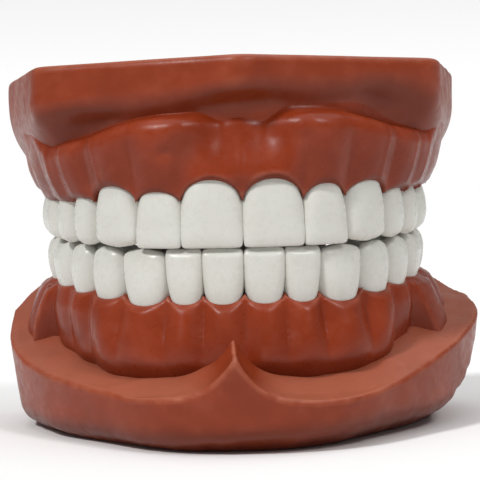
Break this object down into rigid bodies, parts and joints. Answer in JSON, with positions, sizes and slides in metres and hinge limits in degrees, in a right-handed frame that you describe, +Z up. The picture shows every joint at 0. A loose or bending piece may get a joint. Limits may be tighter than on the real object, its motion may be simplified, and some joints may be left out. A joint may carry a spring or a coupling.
{
  "type": "typodont model",
  "caption": "Life-size hinged dental teaching model: upper and lower plinths with gums, separate screwed-in teeth and a back hinge that opens the bite.",
  "frame": {"origin": "under the middle of the closed model, on the surface it stands on", "axes": "+Z up, the front teeth face -Y, the patient's left side is at +X"},
  "size_m": [0.074, 0.063, 0.055],
  "materials": {
    "plinth": "brick-red brushed paint over cast resin, satin, worn paler along the edges",
    "gum": "brick-red brushed paint over cast resin, satin, with soft highlights on the root swells",
    "tooth": "off-white painted resin, soft satin",
    "steel": "plain brushed steel"
  },
  "bodies": {
    "lower_jaw": {"hinge_pin": "steel", "lower_base": "plinth", "lower_gingiva": "gum", "lower_hinge_leaf": "steel", "lower_hinge_screws": "steel", "lower_left_canine": "tooth", "lower_left_central_incisor": "tooth", "lower_left_first_molar": "tooth", "lower_left_first_premolar": "tooth", "lower_left_lateral_incisor": "tooth", "lower_left_second_molar": "tooth", "lower_left_second_premolar": "tooth", "lower_right_canine": "tooth", "lower_right_central_incisor": "tooth", "lower_right_first_molar": "tooth", "lower_right_first_premolar": "tooth", "lower_right_lateral_incisor": "tooth", "lower_right_second_molar": "tooth", "lower_right_second_premolar": "tooth", "lower_tooth_screws": "steel"},
    "upper_jaw": {"upper_base": "plinth", "upper_gingiva": "gum", "upper_hinge_leaf": "steel", "upper_hinge_screws": "steel", "upper_left_canine": "tooth", "upper_left_central_incisor": "tooth", "upper_left_first_molar": "tooth", "upper_left_first_premolar": "tooth", "upper_left_lateral_incisor": "tooth", "upper_left_second_molar": "tooth", "upper_left_second_premolar": "tooth", "upper_right_canine": "tooth", "upper_right_central_incisor": "tooth", "upper_right_first_molar": "tooth", "upper_right_first_premolar": "tooth", "upper_right_lateral_incisor": "tooth", "upper_right_second_molar": "tooth", "upper_right_second_premolar": "tooth", "upper_tooth_screws": "steel"}
  },
  "joints": [
    {"name": "jaw_hinge", "type": "hinge", "parent": "lower_jaw", "child": "upper_jaw", "pos_m": [0, 0.0286, 0.0275], "axis": [-1, 0, 0], "range_deg": [0, 180]}
  ]
}
